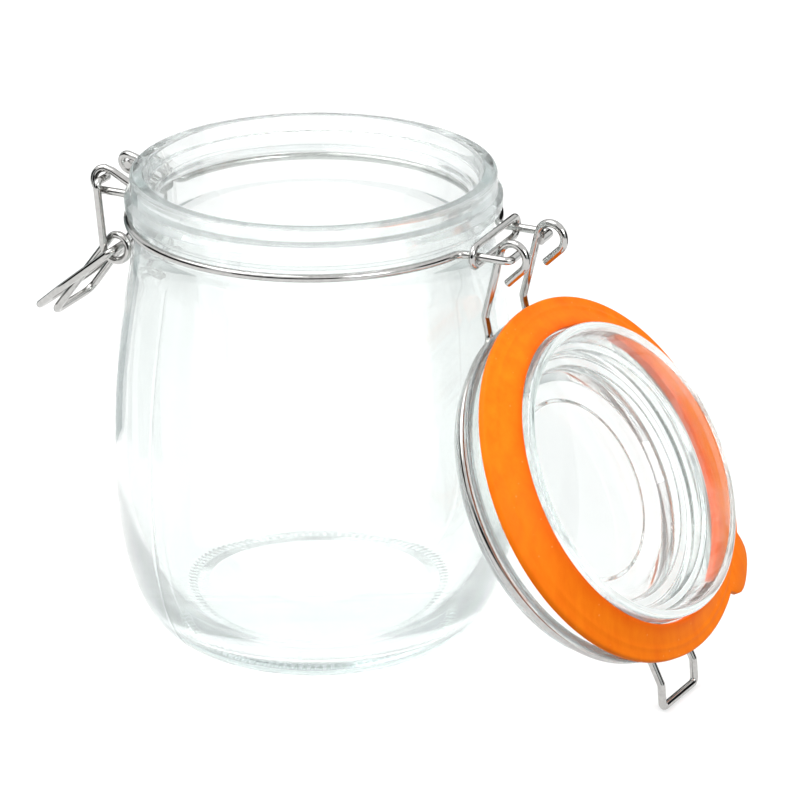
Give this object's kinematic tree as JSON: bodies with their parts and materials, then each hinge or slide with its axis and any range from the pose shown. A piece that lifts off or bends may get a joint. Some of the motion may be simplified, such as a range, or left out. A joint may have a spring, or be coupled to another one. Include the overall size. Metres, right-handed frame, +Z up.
{
  "type": "clip top jar",
  "caption": "Empty clear glass preserving jar with a hinged glass lid, a rubber seal ring with a pull tab and a wire clip clasp, shown open.",
  "frame": {"origin": "middle of the base panel on the jar's axis, 0.8 mm above the table", "axes": "+Z up along the jar's axis, +X from the clasp to the lid's hinge, +Y to the side"},
  "size_m": [0.1965, 0.1082, 0.1266],
  "materials": {
    "clear_glass": "polished",
    "steel_wire": "polished",
    "orange_rubber": "satin"
  },
  "bodies": {
    "jar": {"jar_glass": "clear_glass", "neck_wire": "steel_wire", "hinge_clamp": "steel_wire"},
    "lid": {"lid_glass": "clear_glass", "lid_wire": "steel_wire", "seal": "orange_rubber"},
    "handle": {"handle_wire": "steel_wire"},
    "bail": {"bail_wire": "steel_wire"}
  },
  "joints": [
    {"name": "lid_hinge", "type": "hinge", "parent": "jar", "child": "lid", "pos_m": [0.0614, 0, 0.1142], "axis": [-0.0758, -0.9963, -0.0413], "range_deg": [0, 237.02]},
    {"name": "handle_pivot", "type": "hinge", "parent": "jar", "child": "handle", "pos_m": [-0.0589, 0, 0.11715], "axis": [0, 1, 0], "range_deg": [0, 75]},
    {"name": "bail_pivot", "type": "hinge", "parent": "handle", "child": "bail", "pos_m": [-0.0541, 0, 0.0992], "axis": [0, 1, 0], "range_deg": [0, 71]}
  ]
}
